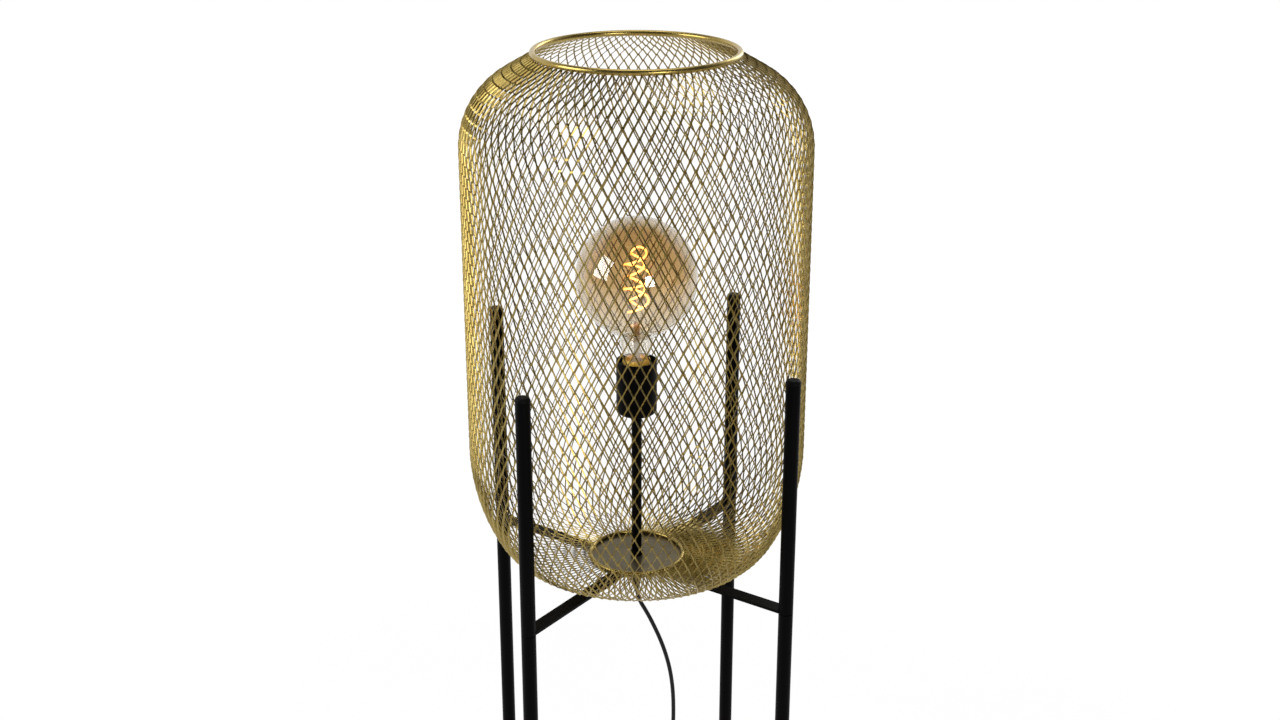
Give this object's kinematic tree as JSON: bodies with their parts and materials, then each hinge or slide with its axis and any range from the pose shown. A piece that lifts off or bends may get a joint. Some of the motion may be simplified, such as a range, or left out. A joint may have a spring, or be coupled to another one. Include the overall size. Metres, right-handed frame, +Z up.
{
  "type": "floor lamp",
  "caption": "Floor lamp with a barrel of expanded-metal mesh held by slim round posts, a globe bulb on a stem inside, and a cord with a foot switch.",
  "frame": {"origin": "on the floor, on the lamp's axis, at the middle of the square of its feet", "axes": "+Z up the lamp's axis, -Y to the front, with the legs on the diagonals between X and Y"},
  "size_m": [0.35, 0.35, 1.0942],
  "materials": {
    "black_paint": "satin",
    "gold_paint": "satin metallic",
    "disc_metal": "satin metallic",
    "black_plastic": "matte",
    "switch_plastic": "satin",
    "cord_sheath": "satin",
    "zinc_steel": "plated",
    "brass": "bright",
    "white_ceramic": "matte",
    "black_glass": "gloss",
    "smoked_glass": "gloss",
    "clear_glass": "gloss",
    "glowing_filament": "glowing"
  },
  "bodies": {
    "lamp": {"base_disc": "disc_metal", "bottom_hoop": "gold_paint", "centre_contact": "brass", "contact_block": "switch_plastic", "contact_carrier": "white_ceramic", "cord_coil": "cord_sheath", "cord_grip": "black_plastic", "cord_tie": "black_plastic", "cross_arm_front_left": "black_paint", "cross_arm_front_right": "black_paint", "cross_arm_rear_left": "black_paint", "cross_arm_rear_right": "black_paint", "cup_nut": "zinc_steel", "disc_spacer": "zinc_steel", "foot_glides": "black_plastic", "holder_base": "black_plastic", "holder_skirt": "black_plastic", "hub_plate": "black_paint", "hub_washer": "zinc_steel", "inner_lead": "cord_sheath", "leg_studs": "zinc_steel", "lower_leg_front_left": "black_paint", "lower_leg_front_right": "black_paint", "lower_leg_rear_left": "black_paint", "lower_leg_rear_right": "black_paint", "plug_body": "switch_plastic", "plug_pins": "zinc_steel", "post_bushes": "zinc_steel", "post_caps": "black_plastic", "power_cord_drop": "cord_sheath", "power_cord_lead": "cord_sheath", "power_cord_tail": "cord_sheath", "screw_shell": "brass", "shade_mesh": "gold_paint", "socket_cup": "black_paint", "stem_collar": "black_paint", "stem_lock_nut": "zinc_steel", "stem_tube": "black_paint", "switch_base": "switch_plastic", "switch_cover": "switch_plastic", "switch_leads": "cord_sheath", "switch_relief_lamp_side": "switch_plastic", "switch_relief_plug_side": "switch_plastic", "switch_screws": "zinc_steel", "switch_spring": "zinc_steel", "switch_terminals": "brass", "terminals": "brass", "top_hoop": "gold_paint", "upper_post_front_left": "black_paint", "upper_post_front_right": "black_paint", "upper_post_rear_left": "black_paint", "upper_post_rear_right": "black_paint"},
    "bulb": {"bulb_cap": "brass", "bulb_insulator": "black_glass", "bulb_tip": "zinc_steel", "bulb_glass": "smoked_glass", "glass_mount": "clear_glass", "filament": "glowing_filament", "support_wires": "zinc_steel"},
    "button": {"switch_button": "switch_plastic"}
  },
  "joints": [
    {"name": "bulb_turn", "type": "hinge", "parent": "lamp", "child": "bulb", "pos_m": [0, 0, 0.76], "axis": [0, 0, 1], "range_deg": [0, 1800]},
    {"name": "switch_press", "type": "slide", "parent": "lamp", "child": "button", "axis": [0, 0, -1], "range_m": [0, 0.003], "stiffness_N_per_m": 600, "springref_m": -0.002, "deforming": ["switch_spring"]}
  ]
}
